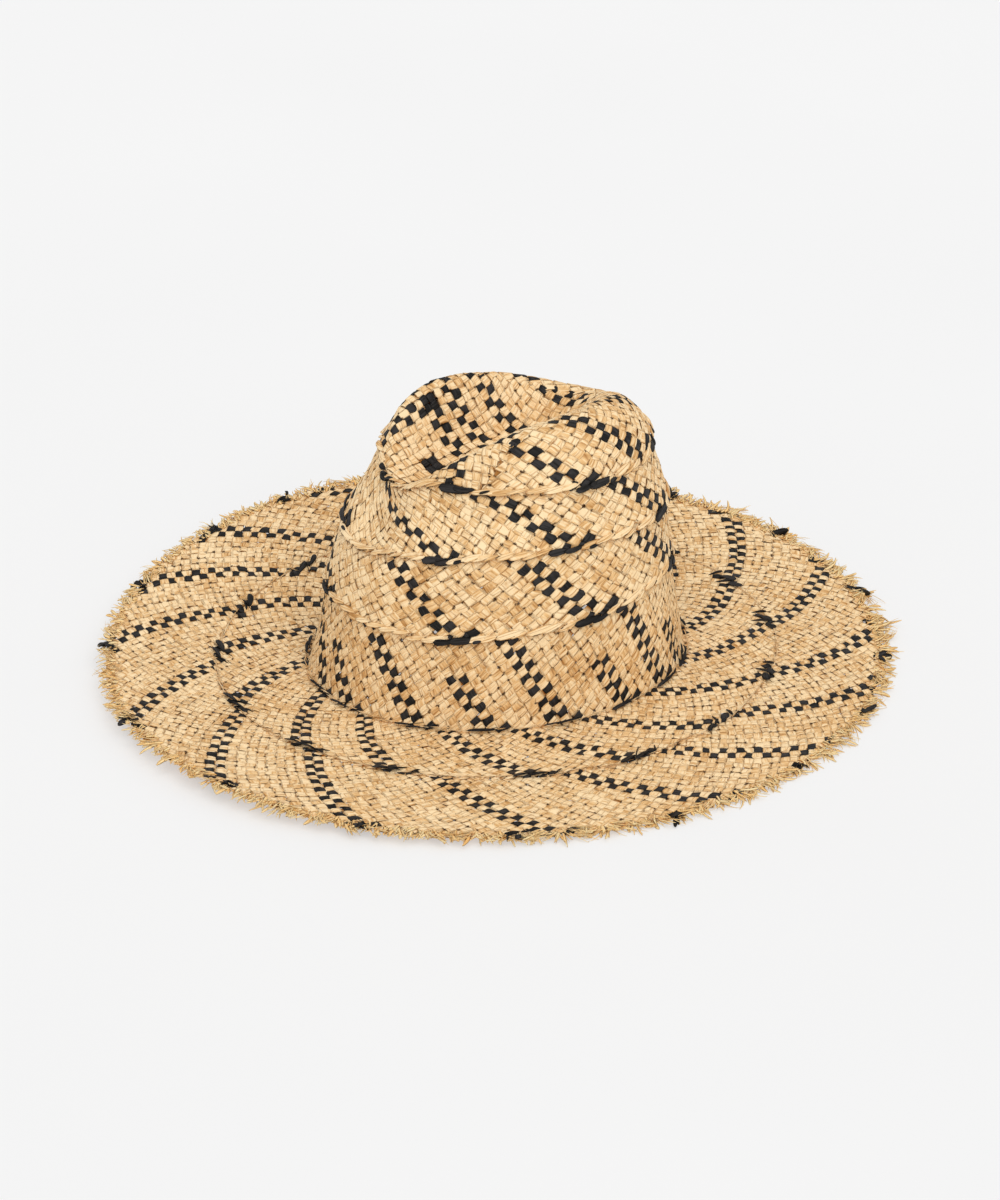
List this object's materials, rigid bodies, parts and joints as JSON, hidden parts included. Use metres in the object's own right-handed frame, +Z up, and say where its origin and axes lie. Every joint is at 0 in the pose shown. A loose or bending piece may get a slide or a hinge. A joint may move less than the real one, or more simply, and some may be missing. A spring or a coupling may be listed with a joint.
{
  "type": "wide-brim straw hat",
  "caption": "Wide-brim straw hat, plaited in rounds, with a creased teardrop crown, dark checkered stripes and a frayed brim edge.",
  "frame": {"origin": "on the surface that the hat rests on, under the middle of the hat", "axes": "+Z up through the crown, -Y to the front of the hat, the long way of the head opening, +X to the side that lies lowest"},
  "size_m": [0.4025, 0.436, 0.1484],
  "materials": {
    "natural_straw": "matte",
    "dyed_straw": "satin",
    "loose_straw": "matte"
  },
  "bodies": {
    "root": {"crown_tip": "natural_straw", "crown_upper": "natural_straw", "crown_middle": "natural_straw", "crown_lower": "natural_straw", "brim_inner": "natural_straw", "brim_outer": "natural_straw", "brim_fray": "loose_straw"}
  },
  "joints": []
}
